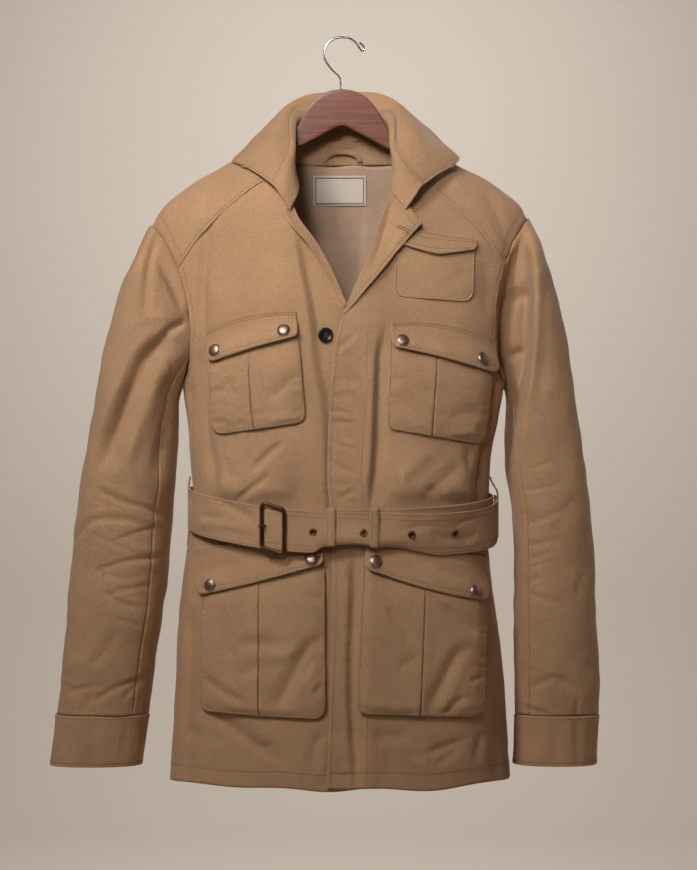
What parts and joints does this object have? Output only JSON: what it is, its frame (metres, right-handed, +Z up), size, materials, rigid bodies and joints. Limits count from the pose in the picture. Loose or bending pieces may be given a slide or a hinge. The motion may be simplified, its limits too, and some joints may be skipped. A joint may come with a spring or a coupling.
{
  "type": "jungle jacket on a wooden hanger",
  "caption": "Belted cotton jungle jacket with bellows pockets, snapped flaps and a turned-out neck, hanging on a curved wooden hanger with a wire hook",
  "frame": {"origin": "the inside of the hook's crown, where the hanger rests on a rail", "axes": "+Z up, -Y the jacket's front, -X the wearer's right"},
  "size_m": [0.6767, 0.1891, 0.9149],
  "materials": {
    "twill": "matt tan cotton twill",
    "lining": "smooth beige cotton lining",
    "label": "plain woven off-white label",
    "snap": "antique copper-nickel",
    "button": "polished black",
    "buckle": "dark bronze",
    "eyelet": "antique brass",
    "cherry": "varnished dark cherry",
    "chrome": "polished"
  },
  "bodies": {
    "root": {"back_lining": "lining", "back_panel": "twill", "belt": "twill", "belt_keeper_1": "twill", "belt_keeper_2": "twill", "belt_loop_left": "twill", "belt_loop_right": "twill", "buckle_frame": "buckle", "buckle_prong": "buckle", "chest_flap_left": "twill", "chest_flap_right": "twill", "chest_pocket_left": "twill", "chest_pocket_right": "twill", "collar_fall": "twill", "collar_stand": "twill", "cuff_left": "twill", "cuff_right": "twill", "eyelet_1": "eyelet", "eyelet_2": "eyelet", "eyelet_3": "eyelet", "eyelet_4": "eyelet", "front_button": "button", "front_left": "twill", "front_right": "twill", "hang_loop": "twill", "hanger_body": "cherry", "hanger_hook": "chrome", "hip_flap_left": "twill", "hip_flap_right": "twill", "hip_pocket_left": "twill", "hip_pocket_right": "twill", "lapel_left": "twill", "lapel_right": "twill", "neck_facing": "twill", "neck_label": "label", "sleeve_left_top": "twill", "sleeve_left_under": "twill", "sleeve_right_top": "twill", "sleeve_right_under": "twill", "snap_chest_left_inner": "snap", "snap_chest_left_outer": "snap", "snap_chest_right_inner": "snap", "snap_chest_right_outer": "snap", "snap_hip_left_inner": "snap", "snap_hip_left_outer": "snap", "snap_hip_right_inner": "snap", "snap_hip_right_outer": "snap", "upper_flap_left": "twill", "upper_pocket_left": "twill", "yoke": "twill"}
  },
  "joints": []
}
